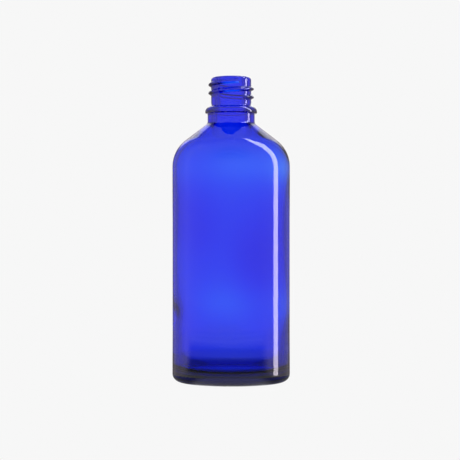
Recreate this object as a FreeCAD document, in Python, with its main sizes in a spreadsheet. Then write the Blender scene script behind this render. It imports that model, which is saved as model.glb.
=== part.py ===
import FreeCAD, Part
import math
import os
import Sketcher

# A round glass bottle with a screw neck, blown as one piece of glass.
# Millimetres, +Z up. The origin is the middle of the ring that the bottle stands on.
# The front of the bottle faces -Y.

# Driving dimensions. A name that ends in _radius is measured from the bottle's axis,
# one that ends in _height from the surface the bottle stands on, and one that ends in
# _round is the radius of a rounded corner. Angles are in degrees.
SIZES = {
    # outside of the body
    "body_radius": 22.8,            # proud bands at the heel and below the shoulder
    "panel_radius": 22.71,          # label panel, a shade smaller than the bands
    "heel_band_height": 5.5,        # top of the lower band
    "panel_low_height": 19.0,
    "panel_high_height": 62.0,
    "shoulder_band_height": 72.0,   # bottom of the upper band
    "heel_round": 3.3,
    "shoulder_round": 12.6,
    "shoulder_slope": 37.3,         # straight part of the shoulder, above level
    # neck, transfer bead and lip
    "neck_radius": 9.12,
    "neck_foot_height": 99.95,      # where the shoulder's slope meets the neck
    "neck_foot_round": 1.6,
    "bead_radius": 10.05,
    "bead_low_height": 103.7,
    "bead_high_height": 106.4,
    "bead_round": 1.9,
    "bead_edge_round": 0.5,
    "undercut_radius": 7.45,        # waist between the bead and the thread
    "undercut_top_height": 108.0,
    "finish_radius": 7.78,          # root of the thread
    "overall_height": 117.9,
    "lip_outer_round": 1.25,
    "lip_inner_round": 0.3,
    # screw thread, wound to the right
    "thread_radius": 8.85,          # outside of the thread
    "thread_crest_round": 0.62,
    "thread_rise": 1.45,            # foot of the upper flank above the crest
    "thread_drop": 0.92,            # foot of the lower flank below the crest
    "thread_sink": 0.4,             # how far the ridge's feet are sunk into the neck
    "thread_pitch": 3.2,
    "thread_turns": 2.0,
    "thread_start_height": 109.52,
    "thread_start_angle": 300.0,    # from +X, counterclockwise seen from above
    "thread_end_step": 0.04,        # what is left of the ridge where its end fades out
    # inside of the glass
    "bore_radius": 5.1,
    "bore_low_height": 106.6,       # the bore is straight from here to the lip
    "bore_round": 2.0,
    "neck_inside_radius": 6.3,      # wider part of the bore, below the bead
    "neck_inside_height": 104.4,    # top of the wider part
    "bore_foot_height": 99.24,      # where the inside of the shoulder meets the bore
    "bore_foot_round": 2.5,
    "wall": 2.3,
    "shoulder_inside_height": 88.9, # where the inside of the shoulder meets the side
    "shoulder_inside_round": 11.0,
    "low_wall_height": 11.0,        # the wall thickens from here down to the floor
    "low_wall_extra": 0.3,
    "floor_height": 4.3,
    "floor_round": 3.0,
    # push-up under the base
    "stand_ring_radius": 17.6,      # inner edge of the ring that the bottle stands on
    "push_up_radius": 12.0,
    "push_up": 1.5,
    "push_up_round": 6.0,
}

# The height where the body's side would meet the straight part of the shoulder.
OUTER_SHOULDER = "neck_foot_height - ( body_radius - neck_radius ) * tan( shoulder_slope * 1deg )"


def make_sheet(doc):
    """The spreadsheet that holds every driving dimension."""
    sheet = doc.addObject("Spreadsheet::Sheet", "Sizes")
    for row, (name, value) in enumerate(SIZES.items(), start=1):
        sheet.set(f"A{row}", name)
        sheet.set(f"B{row}", str(value))
        sheet.setAlias(f"B{row}", name)
    doc.recompute()


def bound(expression):
    """The expression with every size's name pointing to its cell."""
    return " ".join(f"Sizes.{word}" if word in SIZES else word for word in expression.split())


def value_of(item, expression):
    """What the expression comes to, as a plain number."""
    return float(item.evalExpression(bound(expression)))


def add_sketch(body, name, plane_role="XZ_Plane", turn="0", up="0"):
    """An empty sketch on one of the body's own planes, turned about the bottle's axis.
    On XZ_Plane its x is the radius and its y the height. On XY_Plane it lies level,
    raised to a height."""
    plane = next(item for item in body.Origin.OriginFeatures if item.Role == plane_role)
    axis = FreeCAD.Vector(0, 1, 0) if plane_role == "XZ_Plane" else FreeCAD.Vector(0, 0, 1)
    sketch = body.newObject("Sketcher::SketchObject", name)
    sketch.AttachmentSupport = [(plane, "")]
    sketch.MapMode = "FlatFace"
    angle, height = value_of(sketch, turn), value_of(sketch, up)
    sketch.AttachmentOffset = FreeCAD.Placement(FreeCAD.Vector(0, 0, height), FreeCAD.Rotation(axis, angle))
    if turn != "0":
        sketch.setExpression(".AttachmentOffset.Rotation.Angle", f"( {bound(turn)} ) * 1deg")
    if up != "0":
        sketch.setExpression(".AttachmentOffset.Base.z", bound(up))
    return sketch


def bind_point(sketch, element, point, across, up):
    """Ties a point of a sketch to two distances from the sketch's origin, given as
    expressions. 0 puts it on the axis itself."""
    origin, upright_axis, level_axis = -1, -2, -1
    for kind, text, axis in (("DistanceX", across, upright_axis), ("DistanceY", up, level_axis)):
        if text == "0":
            sketch.addConstraint(Sketcher.Constraint("PointOnObject", element, point, axis))
            continue
        size = value_of(sketch, text)
        index = sketch.addConstraint(Sketcher.Constraint(kind, origin, 1, element, point, size))
        sketch.setExpression(f"Constraints[{index}]", bound(text))


def draw_outline(sketch, corners):
    """Straight sides through the corners, each corner two expressions."""
    points = [FreeCAD.Vector(value_of(sketch, across), value_of(sketch, up), 0) for across, up in corners]
    for start, end in zip(points, points[1:] + points[:1]):
        sketch.addGeometry(Part.LineSegment(start, end), False)
    for side, (across, up) in enumerate(corners):
        following = (side + 1) % len(corners)
        sketch.addConstraint(Sketcher.Constraint("Coincident", side, 2, following, 1))
        bind_point(sketch, side, 1, across, up)
    return sketch


def revolve(body, sketch, kind, name):
    """Turns the sketch all the way round the bottle's axis."""
    feature = body.newObject(kind, name)
    feature.Profile = sketch
    feature.ReferenceAxis = (sketch, ["V_Axis"])
    feature.Angle = 360
    body.Document.recompute()
    return feature


def circle_edge(shape, radius, height):
    """The name of the circular edge about the bottle's axis at this radius and height."""
    for number, edge in enumerate(shape.Edges, start=1):
        box = edge.BoundBox
        level = abs(box.ZMin - height) < 0.01 and abs(box.ZMax - height) < 0.01
        if level and abs(box.XMax - radius) < 0.01 and abs(edge.Length - 2 * math.pi * radius) < 0.01:
            return f"Edge{number}"
    raise RuntimeError(f"no edge of radius {radius} at height {height}")


def round_edges(body, solid, rounds):
    """Rounds edges that run round the bottle: each has a name, a radius, a height and
    the size of its round."""
    for name, across, up, size in rounds:
        edge = circle_edge(solid.Shape, value_of(solid, across), value_of(solid, up))
        fillet = body.newObject("PartDesign::Fillet", name)
        fillet.Base = (solid, [edge])
        fillet.setExpression("Radius", bound(size))
        body.Document.recompute()
        solid = fillet


def make_outside(body):
    """The outside of the glass as a solid, from the heel to the lip."""
    sketch = draw_outline(add_sketch(body, "OutsideOutline"), [
        ("0", "0"),
        ("body_radius", "0"),
        ("body_radius", "heel_band_height"),
        ("panel_radius", "panel_low_height"),
        ("panel_radius", "panel_high_height"),
        ("body_radius", "shoulder_band_height"),
        ("body_radius", OUTER_SHOULDER),
        ("neck_radius", "neck_foot_height"),
        ("neck_radius", "bead_low_height"),
        ("bead_radius", "bead_low_height"),
        ("bead_radius", "bead_high_height"),
        ("undercut_radius", "bead_high_height"),
        ("finish_radius", "undercut_top_height"),
        ("finish_radius", "overall_height"),
        ("0", "overall_height"),
    ])
    round_edges(body, revolve(body, sketch, "PartDesign::Revolution", "Outside"), [
        ("Heel", "body_radius", "0", "heel_round"),
        ("Shoulder", "body_radius", OUTER_SHOULDER, "shoulder_round"),
        ("NeckFoot", "neck_radius", "neck_foot_height", "neck_foot_round"),
        ("BeadTop", "bead_radius", "bead_high_height", "bead_round"),
        ("BeadEdge", "bead_radius", "bead_low_height", "bead_edge_round"),
        ("LipOutside", "finish_radius", "overall_height", "lip_outer_round"),
    ])


def draw_thread_section(sketch):
    """The ridge across its length: a rounded crest with a gentle upper flank and a
    steeper lower one, both running a little way into the neck."""
    foot = "finish_radius - thread_sink"
    crest = FreeCAD.Vector(value_of(sketch, "thread_radius - thread_crest_round"),
                           value_of(sketch, "thread_start_height"), 0)
    top_foot = FreeCAD.Vector(value_of(sketch, foot), crest.y + SIZES["thread_rise"], 0)
    low_foot = FreeCAD.Vector(value_of(sketch, foot), crest.y - SIZES["thread_drop"], 0)
    circle = Part.Circle(crest, FreeCAD.Vector(0, 0, 1), SIZES["thread_crest_round"])
    arc = Part.ArcOfCircle(circle, math.radians(-70), math.radians(50))
    sketch.addGeometry(arc, False)
    sketch.addGeometry(Part.LineSegment(arc.EndPoint, top_foot), False)
    sketch.addGeometry(Part.LineSegment(top_foot, low_foot), False)
    sketch.addGeometry(Part.LineSegment(low_foot, arc.StartPoint), False)
    sketch.addConstraint(Sketcher.Constraint("Tangent", 0, 2, 1, 1))
    sketch.addConstraint(Sketcher.Constraint("Coincident", 1, 2, 2, 1))
    sketch.addConstraint(Sketcher.Constraint("Coincident", 2, 2, 3, 1))
    sketch.addConstraint(Sketcher.Constraint("Tangent", 3, 2, 0, 1))
    bind_point(sketch, 0, 3, "thread_radius - thread_crest_round", "thread_start_height")
    bind_point(sketch, 2, 1, foot, "thread_start_height + thread_rise")
    bind_point(sketch, 2, 2, foot, "thread_start_height - thread_drop")
    index = sketch.addConstraint(Sketcher.Constraint("Radius", 0, SIZES["thread_crest_round"]))
    sketch.setExpression(f"Constraints[{index}]", bound("thread_crest_round"))


def make_thread(body):
    """The screw thread on the neck."""
    section = add_sketch(body, "ThreadSection", turn="thread_start_angle")
    draw_thread_section(section)
    body.Document.recompute()
    thread = body.newObject("PartDesign::AdditiveHelix", "Thread")
    thread.Profile = section
    thread.ReferenceAxis = (section, ["V_Axis"])
    thread.Mode = "pitch-turns-angle"
    thread.setExpression("Pitch", bound("thread_pitch"))
    thread.setExpression("Turns", bound("thread_turns"))
    body.Document.recompute()


def fade_thread_end(body, name, turn, height, side):
    """Cuts an end of the thread along a flat that grazes the neck, so that the ridge
    fades out. The ridge comes from the side of the sketch's -y or +y."""
    sketch = add_sketch(body, f"{name}Flat", "XY_Plane", turn, f"{height} + thread_pitch * 0.6")
    inner, outer = "finish_radius + thread_end_step", "thread_radius + 0.5"
    reach = f"thread_radius * {0.6 * side}"
    draw_outline(sketch, [(inner, "0"), (outer, "0"), (outer, reach), (inner, reach)])
    body.Document.recompute()
    flat = body.newObject("PartDesign::Pocket", name)
    flat.Profile = sketch
    flat.setExpression("Length", bound("thread_pitch * 1.1"))
    body.Document.recompute()


def make_inside(body):
    """The hollow: the bore of the neck, the shoulder and the body down to the floor."""
    sketch = draw_outline(add_sketch(body, "InsideOutline"), [
        ("0", "floor_height"),
        ("body_radius - wall - low_wall_extra", "floor_height"),
        ("body_radius - wall", "low_wall_height"),
        ("body_radius - wall", "shoulder_inside_height"),
        ("neck_inside_radius", "bore_foot_height"),
        ("neck_inside_radius", "neck_inside_height"),
        ("bore_radius", "bore_low_height"),
        ("bore_radius", "overall_height"),
        ("0", "overall_height"),
    ])
    round_edges(body, revolve(body, sketch, "PartDesign::Groove", "Inside"), [
        ("Floor", "body_radius - wall - low_wall_extra", "floor_height", "floor_round"),
        ("ShoulderInside", "body_radius - wall", "shoulder_inside_height", "shoulder_inside_round"),
        ("BoreFoot", "neck_inside_radius", "bore_foot_height", "bore_foot_round"),
        ("NeckInside", "neck_inside_radius", "neck_inside_height", "bore_round"),
        ("BoreLow", "bore_radius", "bore_low_height", "bore_round"),
        ("LipInside", "bore_radius", "overall_height", "lip_inner_round"),
    ])


def make_push_up(body):
    """The shallow dish under the base, which leaves a flat ring to stand on."""
    sketch = draw_outline(add_sketch(body, "PushUpOutline"), [
        ("0", "0"),
        ("stand_ring_radius", "0"),
        ("push_up_radius", "push_up"),
        ("0", "push_up"),
    ])
    round_edges(body, revolve(body, sketch, "PartDesign::Groove", "PushUp"), [
        ("PushUpRound", "push_up_radius", "push_up", "push_up_round"),
        ("StandRingEdge", "stand_ring_radius", "0", "push_up_round"),
    ])


def make_bottle(doc):
    """The whole bottle as one body."""
    body = doc.addObject("PartDesign::Body", "GlassBottle")
    body.Label = "glass_bottle"
    body.Placement = FreeCAD.Placement()
    doc.recompute()
    make_outside(body)
    make_thread(body)
    fade_thread_end(body, "ThreadStart", "thread_start_angle", "thread_start_height", 1)
    fade_thread_end(body, "ThreadEnd", "thread_start_angle + thread_turns * 360",
                    "thread_start_height + thread_turns * thread_pitch", -1)
    solid_volume = body.Shape.Volume
    make_inside(body)
    make_push_up(body)
    if body.Shape.Volume > 0.5 * solid_volume:
        raise RuntimeError("the hollow did not cut the glass")
    return body


def check(doc, pieces):
    """Stops if any object failed or any piece is not one valid solid."""
    for item in doc.Objects:
        if "Invalid" in item.State or "Error" in item.State:
            raise RuntimeError(f"{item.Name} failed: {item.State}")
    for piece in pieces:
        shape = piece.Shape
        if shape.isNull() or not shape.isValid() or len(shape.Solids) != 1:
            raise RuntimeError(f"{piece.Label} is not one valid solid")


doc = FreeCAD.newDocument("Bottle")
make_sheet(doc)
pieces = [make_bottle(doc)]
doc.recompute()
check(doc, pieces)
os.makedirs("parts", exist_ok=True)
for piece in pieces:
    piece.Shape.exportStep(f"parts/{piece.Label}.step")
    print(piece.Label, "glass volume", round(piece.Shape.Volume / 1000, 2), "ml")
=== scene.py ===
import math
import bpy
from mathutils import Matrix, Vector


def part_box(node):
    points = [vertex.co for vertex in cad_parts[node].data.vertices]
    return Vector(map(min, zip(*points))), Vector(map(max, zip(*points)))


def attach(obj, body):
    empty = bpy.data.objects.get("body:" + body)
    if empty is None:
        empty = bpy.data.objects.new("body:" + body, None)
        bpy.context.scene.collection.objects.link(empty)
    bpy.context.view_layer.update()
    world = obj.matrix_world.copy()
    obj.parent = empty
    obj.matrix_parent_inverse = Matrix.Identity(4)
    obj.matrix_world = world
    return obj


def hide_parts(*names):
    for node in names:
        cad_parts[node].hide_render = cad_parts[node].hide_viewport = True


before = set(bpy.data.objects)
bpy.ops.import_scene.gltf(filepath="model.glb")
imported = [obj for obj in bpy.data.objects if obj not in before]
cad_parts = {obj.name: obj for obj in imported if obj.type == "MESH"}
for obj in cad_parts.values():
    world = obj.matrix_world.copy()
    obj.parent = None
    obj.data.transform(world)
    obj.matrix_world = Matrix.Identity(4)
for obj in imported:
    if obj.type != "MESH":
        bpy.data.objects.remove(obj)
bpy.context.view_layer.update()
CAD_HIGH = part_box("glass_bottle")[1]

# Sizes are in millimetres until a mesh is made. Z is up from the surface that the bottle
# stands on, and the front of the bottle faces -Y.
MM = 0.001
HEIGHT = CAD_HIGH[2] / MM
BODY_R = CAD_HIGH[0] / MM
PANEL_R = BODY_R - 0.06
WALL = 2.3
FLOOR_Z = 4.3                         # top of the glass floor
FLOOR_INSET = 0.3                     # how much thicker the wall is where it meets the floor
NECK_R = 9.12
FINISH_R = 7.78                       # root of the thread
BORE_R = 5.1
NECK_INSIDE_R = 6.3                   # the bore is wider below the bead
FINISH_Z = 108.0                      # bottom of the thread's root
LIP_ROUND = 1.25

# Screw thread, wound to the right
THREAD_R = 8.85
THREAD_PITCH = 3.2
THREAD_LOW_Z = 109.52                 # middle of the crest where the thread starts
THREAD_LOW_ANGLE = math.radians(300)
THREAD_TURNS = 2.0
THREAD_FADE = math.radians(28)        # the ridge sinks into the neck over this angle
FLANK_ABOVE = 1.0                     # width of the ridge's upper flank
FLANK_BELOW = 0.8

# Mould seams run up the bottle's left and right. The glass between them is lower by this much.
SEAM_RISE = 0.03
# Waves left in the surface by the mould
WAVE = 0.004

AROUND = 220                          # columns of faces round the bottle
STEP = 1.2                            # longest run between two rows of points
THREAD_STEP = 0.16                    # the same, over the thread
LIP_STEP = 0.3


def smooth(x):
    """0 below 0, 1 above 1, and an even rise between."""
    x = min(max(x, 0.0), 1.0)
    return x * x * (3 - 2 * x)


def rounded_line(corners, step):
    """Points along straight runs whose corners are rounded. A corner is (radius, height)
    or (radius, height, size of its round)."""
    points = [corners[0][:2]]
    for before, corner, after in zip(corners, corners[1:], corners[2:]):
        size = corner[2] if len(corner) > 2 else 0
        if not size:
            points.append(corner[:2])
            continue
        back = (before[0] - corner[0], before[1] - corner[1])
        ahead = (after[0] - corner[0], after[1] - corner[1])
        back_len, ahead_len = math.hypot(*back), math.hypot(*ahead)
        ub = (back[0] / back_len, back[1] / back_len)
        ua = (ahead[0] / ahead_len, ahead[1] / ahead_len)
        half = math.acos(max(-1, min(1, ub[0] * ua[0] + ub[1] * ua[1]))) / 2
        reach = size / math.tan(half)
        middle = (ub[0] + ua[0], ub[1] + ua[1])
        scale = size / math.sin(half) / math.hypot(*middle)
        centre = (corner[0] + middle[0] * scale, corner[1] + middle[1] * scale)
        start = (corner[0] + ub[0] * reach, corner[1] + ub[1] * reach)
        end = (corner[0] + ua[0] * reach, corner[1] + ua[1] * reach)
        a0 = math.atan2(start[1] - centre[1], start[0] - centre[0])
        a1 = math.atan2(end[1] - centre[1], end[0] - centre[0])
        turn = (a1 - a0 + math.pi) % (2 * math.pi) - math.pi
        count = max(4, math.ceil(abs(turn) * size / step), math.ceil(abs(turn) / math.radians(7)))
        points += [(centre[0] + size * math.cos(a0 + turn * k / count),
                    centre[1] + size * math.sin(a0 + turn * k / count)) for k in range(count + 1)]
    points.append(corners[-1][:2])
    line = [points[0]]
    for end in points[1:]:
        start = line[-1]
        run = math.hypot(end[0] - start[0], end[1] - start[1])
        if run < 1e-6:
            continue
        parts = math.ceil(run / step)
        line += [(start[0] + (end[0] - start[0]) * k / parts, start[1] + (end[1] - start[1]) * k / parts)
                 for k in range(1, parts + 1)]
    return line


def shoulder_corner(foot_r, foot_z, side_r):
    """Where a side of the bottle would meet the shoulder's slope."""
    return foot_z - (side_r - foot_r) * math.tan(math.radians(37.3))


def outside_line():
    """The outside's profile as (radius, height) points, from under the base up to the lip."""
    low = rounded_line([
        (0, 1.5), (12.0, 1.5, 6.0), (17.6, 0, 6.0), (BODY_R, 0, 3.3), (BODY_R, 5.5, 40), (PANEL_R, 19, 60),
        (PANEL_R, 62, 60), (BODY_R, 72, 60), (BODY_R, shoulder_corner(NECK_R, 99.95, BODY_R), 12.6),
        (NECK_R, 99.95, 1.6), (NECK_R, 103.7, 0.15), (10.05, 103.7, 0.5), (10.05, 106.4, 1.9),
        (7.45, 106.4, 0.5), (FINISH_R, FINISH_Z)], STEP)
    finish = rounded_line([(FINISH_R, FINISH_Z), (FINISH_R, HEIGHT - LIP_ROUND)], THREAD_STEP)
    lip = rounded_line([(FINISH_R, HEIGHT - LIP_ROUND), (FINISH_R, HEIGHT, LIP_ROUND),
                        (BORE_R + 0.25, HEIGHT)], LIP_STEP)
    return low + finish[1:] + lip[1:]


def inside_line():
    """The inside's profile, from the lip down to the floor."""
    side = BODY_R - WALL
    return rounded_line([
        (BORE_R + 0.25, HEIGHT), (BORE_R, HEIGHT, 0.22), (BORE_R, 106.6, 2.0), (NECK_INSIDE_R, 104.4, 2.0),
        (NECK_INSIDE_R, 99.24, 2.5), (side, 88.9, 11.0), (side, 11.0, 14.0),
        (side - FLOOR_INSET, FLOOR_Z, 3.0), (0, FLOOR_Z)], STEP)


def thread_height(angle, z):
    """How far the thread stands out of the neck."""
    tallest = THREAD_R - FINISH_R
    first = math.floor((angle - THREAD_LOW_ANGLE) / (2 * math.pi))
    best = 0.0
    for turn in range(first - 1, first + 4):
        along = angle - THREAD_LOW_ANGLE + 2 * math.pi * (turn - first)
        if not 0 <= along <= 2 * math.pi * THREAD_TURNS:
            continue
        crest = THREAD_LOW_Z + THREAD_PITCH * along / (2 * math.pi)
        fade = smooth(along / THREAD_FADE) * smooth((2 * math.pi * THREAD_TURNS - along) / THREAD_FADE)
        away = (z - crest) / (FLANK_ABOVE if z > crest else FLANK_BELOW)
        if abs(away) < 1:
            best = max(best, tallest * fade * (1 - away * away))
    return best


# Glass. Sizes and depths from here to STAND_ROUGHNESS are in metres, as the nodes take them.
GLASS_IOR = 1.52
SOAK_COLOUR = (0.0, 0.475, 0.958, 1)
SOAK_DENSITY = 1600
POLISH_SIZE = 0.018                   # size of the duller and brighter patches
POLISH_ROUGHNESS = 0.015
UNEVEN_SIZE = 0.0045                  # size of the faint bumps
UNEVEN_DEPTH = 0.0000008
STAND_HEIGHT = (0.0005, 0.0001)       # the stippled ring fades in between each pair
STAND_INSIDE = (0.0170, 0.0176)
STAND_OUTSIDE = (0.0200, 0.0194)
PIT_SIZE = 0.0006
PIT_DEPTH = 0.0001
STAND_ROUGHNESS = 0.3

# Where blowing left the wall thicker or thinner: how far towards the bottle's right (-1 to 1),
# height, reach across, reach up and down, extra thickness
SWELLS = ((0.35, 84, 1.4, 11, -0.75), (-0.7, 60, 0.45, 12, 0.3), (0.5, 48, 0.45, 13, 0.7), (0, 58, 2, 10, 0.1),
          (-0.1, 31, 0.75, 9, -0.5), (0, 15, 2, 7, 0.1), (-1, 50, 0.3, 14, -0.4), (-1, 27, 0.1, 4.5, 0.3),
          (1, 30, 0.25, 12, -0.8), (1, 82, 0.3, 11, -0.8), (-1, 82, 0.3, 11, -0.4))


def extra_wall(across, z):
    """How much thicker than usual the wall is."""
    extra = sum(depth * math.exp(-((across - x0) / wide) ** 2 - ((z - z0) / tall) ** 2)
                for x0, z0, wide, tall, depth in SWELLS)
    return extra * smooth((z - 5) / 5) * smooth((98 - z) / 6)      # even by the floor and the neck


def glass_mesh():
    """The whole bottle as one closed mesh."""
    outside, inside = outside_line(), inside_line()
    angles = [2 * math.pi * k / AROUND for k in range(AROUND)]
    rows = []
    for r, z in outside:
        row = []
        side = smooth((z - 2) / 2) * smooth((HEIGHT - 1.5 - z) / 1.5)      # not under the base or on the lip
        for k, a in enumerate(angles):
            rr = r
            if FINISH_Z <= z <= HEIGHT - 0.9 and r > FINISH_R - 0.05:
                rr += thread_height(a, z)
            if k % (AROUND // 2):              # every column but the two seams
                rr -= SEAM_RISE * side
            rr -= WAVE * side * (1 + math.sin(2 * a + z / 6) * math.sin(z / 9 + 3 * math.cos(a)))
            row.append((rr * math.cos(a), rr * math.sin(a), z))
        rows.append(row)
    for r, z in inside[1:]:
        row = []
        for a in angles:
            rr = r - (extra_wall(math.cos(a), z) if r > BORE_R + 1 else 0)
            row.append((rr * math.cos(a), rr * math.sin(a), z))
        rows.append(row)
    verts, faces = [], []
    bottom = (0, 0, outside[0][1])
    top = (0, 0, inside[-1][1])
    rows = rows[1:-1]
    for row in rows:
        verts += row
    for i in range(len(rows) - 1):
        for k in range(AROUND):
            n = (k + 1) % AROUND
            faces.append((i * AROUND + k, i * AROUND + n, (i + 1) * AROUND + n, (i + 1) * AROUND + k))
    verts += [bottom, top]
    last = (len(rows) - 1) * AROUND
    for k in range(AROUND):
        n = (k + 1) % AROUND
        faces.append((len(verts) - 2, n, k))
        faces.append((len(verts) - 1, last + k, last + n))
    mesh = bpy.data.meshes.new("bottle_glass")
    mesh.from_pydata([(x * MM, y * MM, z * MM) for x, y, z in verts], [], faces)
    mesh.validate()
    mesh.update()
    mesh.polygons.foreach_set("use_smooth", [True] * len(mesh.polygons))
    return mesh


class Studio:
    """Shader nodes for the light round the bottle. Brightness is kept as half its value in
    the colour ramps, which hold numbers up to 1."""

    def __init__(self, tree):
        self.nodes, self.links = tree.nodes, tree.links

    def put(self, socket, value):
        if isinstance(value, bpy.types.NodeSocket):
            self.links.new(value, socket)
        else:
            socket.default_value = value

    def math(self, operation, *values):
        node = self.nodes.new("ShaderNodeMath")
        node.operation = operation
        for socket, value in zip(node.inputs, values):
            self.put(socket, value)
        return node.outputs[0]

    def step(self, value, low, high):
        """Rises smoothly from 0 at low to 1 at high."""
        node = self.nodes.new("ShaderNodeMapRange")
        node.interpolation_type = "SMOOTHSTEP"
        self.put(node.inputs["Value"], value)
        node.inputs["From Min"].default_value = low
        node.inputs["From Max"].default_value = high
        return node.outputs["Result"]

    def ramp(self, value, stops, scale=2.0):
        """A value read along (place, level) stops."""
        first, last = stops[0][0], stops[-1][0]
        place = self.math("DIVIDE", self.math("SUBTRACT", value, first), last - first)
        node = self.nodes.new("ShaderNodeValToRGB")
        node.color_ramp.interpolation = "EASE"
        self.links.new(place, node.inputs["Fac"])
        band = node.color_ramp.elements
        band[0].position, band[1].position = 0, 1
        for at, level in stops[1:-1]:
            band.new((at - first) / (last - first))
        for stop, (at, level) in zip(band, stops):
            stop.color = (level / scale, level / scale, level / scale, 1)
        return self.math("MULTIPLY", node.outputs["Color"], scale)

    def blend(self, share, a, b):
        """a where share is 0 and b where it is 1."""
        node = self.nodes.new("ShaderNodeMix")
        self.put(node.inputs["Factor"], share)
        self.put(node.inputs["A"], a)
        self.put(node.inputs["B"], b)
        return node.outputs["Result"]

    def light(self, kind, level, tint=(1, 1, 1, 1)):
        node = self.nodes.new(kind)
        self.put(node.inputs["Color"], tint)
        self.put(node.inputs["Strength"], level)
        return node.outputs[0]

    def either(self, share, a, b):
        node = self.nodes.new("ShaderNodeMixShader")
        self.links.new(share, node.inputs[0])
        self.links.new(a, node.inputs[1])
        self.links.new(b, node.inputs[2])
        return node.outputs[0]


def cobalt_glass():
    """Clear cobalt glass, coloured by its depth. It is fire-polished, faintly uneven to
    the touch, and stippled on the ring that it stands on."""
    mat = bpy.data.materials.new("cobalt_glass")
    mat.use_nodes = True
    nodes, links = mat.node_tree.nodes, mat.node_tree.links
    kit = Studio(mat.node_tree)
    surface = nodes["Principled BSDF"]
    surface.inputs["Base Color"].default_value = (1, 1, 1, 1)
    surface.inputs["Transmission Weight"].default_value = 1
    surface.inputs["IOR"].default_value = GLASS_IOR
    soak = nodes.new("ShaderNodeVolumeAbsorption")
    soak.inputs["Color"].default_value = SOAK_COLOUR
    soak.inputs["Density"].default_value = SOAK_DENSITY
    links.new(soak.outputs["Volume"], nodes["Material Output"].inputs["Volume"])
    where = nodes.new("ShaderNodeTexCoord").outputs["Object"]
    split = nodes.new("ShaderNodeSeparateXYZ")
    links.new(where, split.inputs[0])
    x, y, z = split.outputs

    def noise(size, detail):
        node = nodes.new("ShaderNodeTexNoise")
        links.new(where, node.inputs["Vector"])
        node.inputs["Scale"].default_value = 1 / size
        node.inputs["Detail"].default_value = detail
        return node.outputs["Fac"]

    def bump(height, distance, under=None):
        node = nodes.new("ShaderNodeBump")
        node.inputs["Distance"].default_value = distance
        links.new(height, node.inputs["Height"])
        if under:
            links.new(under, node.inputs["Normal"])
        return node.outputs["Normal"]

    # the stippled ring: small pits, only on the face that the bottle stands on
    out = kit.math("SQRT", kit.math("ADD", kit.math("MULTIPLY", x, x), kit.math("MULTIPLY", y, y)))
    ring = kit.math("MULTIPLY", kit.step(z, *STAND_HEIGHT),
                    kit.math("MULTIPLY", kit.step(out, *STAND_INSIDE), kit.step(out, *STAND_OUTSIDE)))
    pits = nodes.new("ShaderNodeTexVoronoi")
    links.new(where, pits.inputs["Vector"])
    pits.inputs["Scale"].default_value = 1 / PIT_SIZE
    stipple = kit.math("MULTIPLY", ring, pits.outputs["Distance"])
    polish = kit.step(noise(POLISH_SIZE, 1), 0.35, 0.8)
    links.new(kit.math("ADD", kit.math("MULTIPLY", polish, POLISH_ROUGHNESS),
                       kit.math("MULTIPLY", ring, STAND_ROUGHNESS)), surface.inputs["Roughness"])
    links.new(bump(stipple, PIT_DEPTH, bump(noise(UNEVEN_SIZE, 1), UNEVEN_DEPTH)), surface.inputs["Normal"])
    return mat


# Brightness of the plain studio and floor where the camera sees them directly
BACKDROP = 0.93
# Painted shade on the floor, by distance from the bottle's axis in mm, which only the glass sees: a painted contact
# shadow seen through the glass, as a share of the studio's brightness, and painted darker and lighter bands as the
# glass mirrors the floor in front of the bottle
PAINTED_FLOOR_SHADOW_THROUGH = ((0, 0.0), (22.5, 0.0), (25, 0.33), (60, 0.55), (100, 0.65), (147, 0.85), (214, 1.0), (400, 1.0))
PAINTED_FLOOR_SHADE_MIRRORED = ((0, 0.2), (22, 0.78), (30, 0.78), (59, 0.63), (67, 0.58), (75, 0.4), (83, 0.2), (107, 0.16),
                  (140, 0.12), (156, 0.25), (168, 0.45), (212, 0.4), (228, 0.5), (244, 0.7), (280, 0.93), (340, 0.93))
# Painted contact shadow: how bright the mirrored floor is near the bottle, by degrees away from straight behind it;
# dark behind and at the sides, bright at the front
PAINTED_CONTACT_SHADOW_MIRRORED = ((0, 0.22), (128, 0.22), (148, 1.0), (180, 1.0))
# Brightness of the studio, by degrees away from straight behind the bottle
THROUGH = ((0, 1.2), (19, 1.2), (27, 0.62), (42, 0.70), (70, 0.85), (180, 0.85))
MIRRORED = ((0, 0.9), (10, 0.5), (18, 0.15), (24, 0.22), (30, 0.32), (36, 0.45), (42, 0.42), (54, 0.5),
            (62, 0.62), (71, 0.75), (84, 1.0), (180, 1.0))
# Where the strip light stands, by degrees above the horizon
STRIP = ((-10, 82.5), (5, 82.5), (18, 83.5), (38, 82), (59, 74), (71.5, 48), (90, 20))
STRIP_HALF_WIDTH = (7.2, 5.8)         # degrees, where it has faded out and where it is full
STRIP_BOTTOM = (-6.4, -5.8)
STRIP_TOP = (70, 68.5)
STRIP_BRIGHTNESS = 7.5
PANEL_BRIGHTNESS = 1.3
FRONT_BRIGHTNESS = 0.8
CEILING_BRIGHTNESS = (0.93, 0.56)     # in front and behind
# What the glass mirrors of the floor ends in these ranges, in mm or degrees, and the studio
# shows beyond them
FLOOR_END = (280, 340)
# the painted contact shadow that the glass mirrors ends in this range
PAINTED_CONTACT_SHADOW_END = (32, 40)
RIGHT_END = (125, 105)
LEFT_END = (-105, -85)
FLOOR_SIZE = 8                        # metres
FLOOR_Z_M = -0.00005                  # just under the bottle
LOW_TINT = (1, 0.9, 0.97, 1)
HIGH_TINT = (0.95, 0.97, 1.2, 1)


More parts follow.
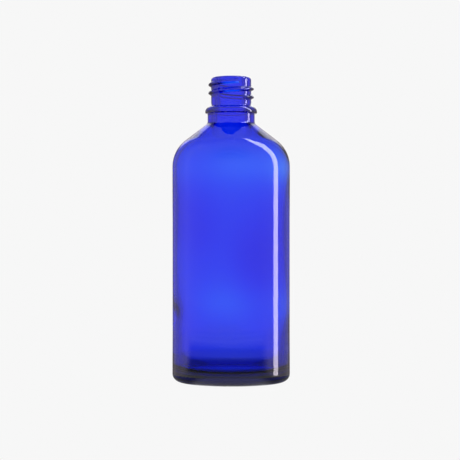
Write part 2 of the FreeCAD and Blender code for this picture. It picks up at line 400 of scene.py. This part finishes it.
def make_floor():
    """A plain pale floor. It is one even tone to the camera; to the glass it glows with painted shade: a painted
    contact shadow near the bottle, and painted darker and lighter bands farther out."""
    bpy.ops.mesh.primitive_plane_add(size=FLOOR_SIZE, location=(0, 0, FLOOR_Z_M))
    floor = bpy.context.object
    floor.name = "floor"
    mat = bpy.data.materials.new("floor")
    mat.use_nodes = True
    mat.node_tree.nodes.remove(mat.node_tree.nodes["Principled BSDF"])
    kit = Studio(mat.node_tree)
    path = kit.nodes.new("ShaderNodeLightPath")
    where = kit.nodes.new("ShaderNodeNewGeometry")
    flat = kit.nodes.new("ShaderNodeVectorMath")
    flat.operation = "LENGTH"
    kit.links.new(where.outputs["Position"], flat.inputs[0])
    away = kit.math("MULTIPLY", flat.outputs["Value"], 1000)
    place = kit.nodes.new("ShaderNodeSeparateXYZ")
    kit.links.new(where.outputs["Position"], place.inputs[0])
    turn = kit.math("DEGREES", kit.math("ARCTAN2", place.outputs["X"], place.outputs["Y"]))
    aside = kit.math("ABSOLUTE", turn)
    # painted shadow: the floor seen through the glass is dark under and near the bottle and brightens farther out
    through = kit.math("MULTIPLY", kit.ramp(away, PAINTED_FLOOR_SHADOW_THROUGH), kit.ramp(aside, THROUGH))
    pale = kit.light("ShaderNodeEmission", BACKDROP)
    painted_shadow_through = kit.light("ShaderNodeEmission", through)
    # painted shade: the floor as the glass mirrors it, with a painted contact shadow at the sides near the bottle and
    # painted darker and lighter bands farther out
    front = kit.blend(kit.step(away, *reversed(PAINTED_CONTACT_SHADOW_END)), 1.0, kit.ramp(aside, PAINTED_CONTACT_SHADOW_MIRRORED))
    near = kit.light("ShaderNodeEmission", kit.math("MULTIPLY", front, kit.ramp(away, PAINTED_FLOOR_SHADE_MIRRORED)))
    clear = kit.nodes.new("ShaderNodeBsdfTransparent").outputs[0]
    side = kit.math("MULTIPLY", kit.step(turn, *RIGHT_END), kit.step(turn, *LEFT_END))
    beside = kit.math("MAXIMUM", kit.step(away, *FLOOR_END),
                      kit.math("MULTIPLY", kit.step(away, *PAINTED_CONTACT_SHADOW_END), side))
    mirrored = kit.either(beside, near, clear)
    rest = kit.either(path.outputs["Is Transmission Ray"], mirrored, painted_shadow_through)
    kit.links.new(kit.either(path.outputs["Is Camera Ray"], rest, pale),
                  kit.nodes["Material Output"].inputs["Surface"])
    floor.data.materials.append(mat)


def make_world():
    """A plain pale studio with a strip light on the right, a panel above and behind, and a
    ceiling. Light through the glass and light mirrored by it are set apart."""
    world = bpy.data.worlds.new("studio")
    bpy.context.scene.world = world
    world.use_nodes = True
    kit = Studio(world.node_tree)
    kit.nodes.remove(kit.nodes["Background"])
    path = kit.nodes.new("ShaderNodeLightPath")
    where = kit.nodes.new("ShaderNodeTexCoord")
    split = kit.nodes.new("ShaderNodeSeparateXYZ")
    kit.links.new(where.outputs["Generated"], split.inputs[0])
    x, y, z = split.outputs
    turn = kit.math("DEGREES", kit.math("ARCTAN2", x, y))
    aside = kit.math("ABSOLUTE", turn)
    rise = kit.math("DEGREES", kit.math("ARCSINE", z))
    through = kit.math("MULTIPLY", kit.ramp(aside, THROUGH), kit.blend(kit.step(rise, 60, 80), 1.0, 0.85))
    # a bright panel above and behind, dimmer towards the front, and an even ceiling
    depth = kit.math("MAXIMUM", y, 0.01)
    panel = kit.math("MULTIPLY", kit.step(kit.math("DIVIDE", kit.math("ABSOLUTE", x), depth), 0.5, 0.42),
                     kit.step(kit.math("DIVIDE", z, depth), 0.25, 0.35))
    panel = kit.math("MULTIPLY", panel, kit.step(kit.math("DIVIDE", z, depth), 0.95, 0.75))
    mirrored = kit.blend(kit.math("MULTIPLY", kit.step(aside, 125, 160), kit.step(rise, 12, 28)),
                         kit.ramp(aside, MIRRORED), FRONT_BRIGHTNESS)
    ceiling = kit.blend(kit.step(y, -0.2, 0.25), *CEILING_BRIGHTNESS)
    mirrored = kit.blend(kit.step(rise, 50, 68), mirrored, ceiling)
    mirrored = kit.blend(panel, mirrored, PANEL_BRIGHTNESS)
    off = kit.math("ABSOLUTE", kit.math("SUBTRACT", turn, kit.ramp(rise, STRIP, 100)))
    off = kit.math("MULTIPLY", off, kit.math("COSINE", kit.math("ARCSINE", z)))
    off = kit.math("MULTIPLY", off, kit.blend(kit.step(rise, 20, 60), 1.0, 0.9))
    strip = kit.math("MULTIPLY", kit.step(off, *STRIP_HALF_WIDTH), kit.step(rise, *STRIP_BOTTOM))
    strip = kit.math("MULTIPLY", strip, kit.step(rise, *STRIP_TOP))
    lit = kit.math("ADD", mirrored, kit.math("MULTIPLY", strip, STRIP_BRIGHTNESS))
    tint = kit.nodes.new("ShaderNodeMix")
    tint.data_type = "RGBA"
    kit.put(tint.inputs[0], kit.step(rise, 8, 30))
    kit.put(tint.inputs[6], LOW_TINT)
    kit.put(tint.inputs[7], HIGH_TINT)
    rest = kit.either(path.outputs["Is Transmission Ray"],
                      kit.light("ShaderNodeBackground", lit, tint.outputs[2]),
                      kit.light("ShaderNodeBackground", through))
    kit.links.new(kit.either(path.outputs["Is Camera Ray"], rest, kit.light("ShaderNodeBackground", BACKDROP)),
                  kit.nodes["World Output"].inputs["Surface"])


LENS = 115.4
CAMERA_PLACE = (-0.00044, -0.572, 0.05867)


def make_camera():
    """A long lens straight in front of the bottle, level with the middle of its height."""
    cam = bpy.data.cameras.new("camera")
    cam.sensor_width = 36
    cam.lens = LENS
    cam.clip_start, cam.clip_end = 0.01, 20
    ob = bpy.data.objects.new("camera", cam)
    bpy.context.scene.collection.objects.link(ob)
    ob.location = CAMERA_PLACE
    ob.rotation_euler = (math.radians(90), 0, 0)
    bpy.context.scene.camera = ob


glass = bpy.data.objects.new("bottle_glass", glass_mesh())
bpy.context.scene.collection.objects.link(glass)
glass.data.materials.append(cobalt_glass())
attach(glass, "root")
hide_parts("glass_bottle")

make_floor()
make_world()
make_camera()
scene = bpy.context.scene
scene.view_settings.view_transform = "Standard"
scene.cycles.max_bounces = 32
scene.cycles.glossy_bounces = 24
scene.cycles.transmission_bounces = 32
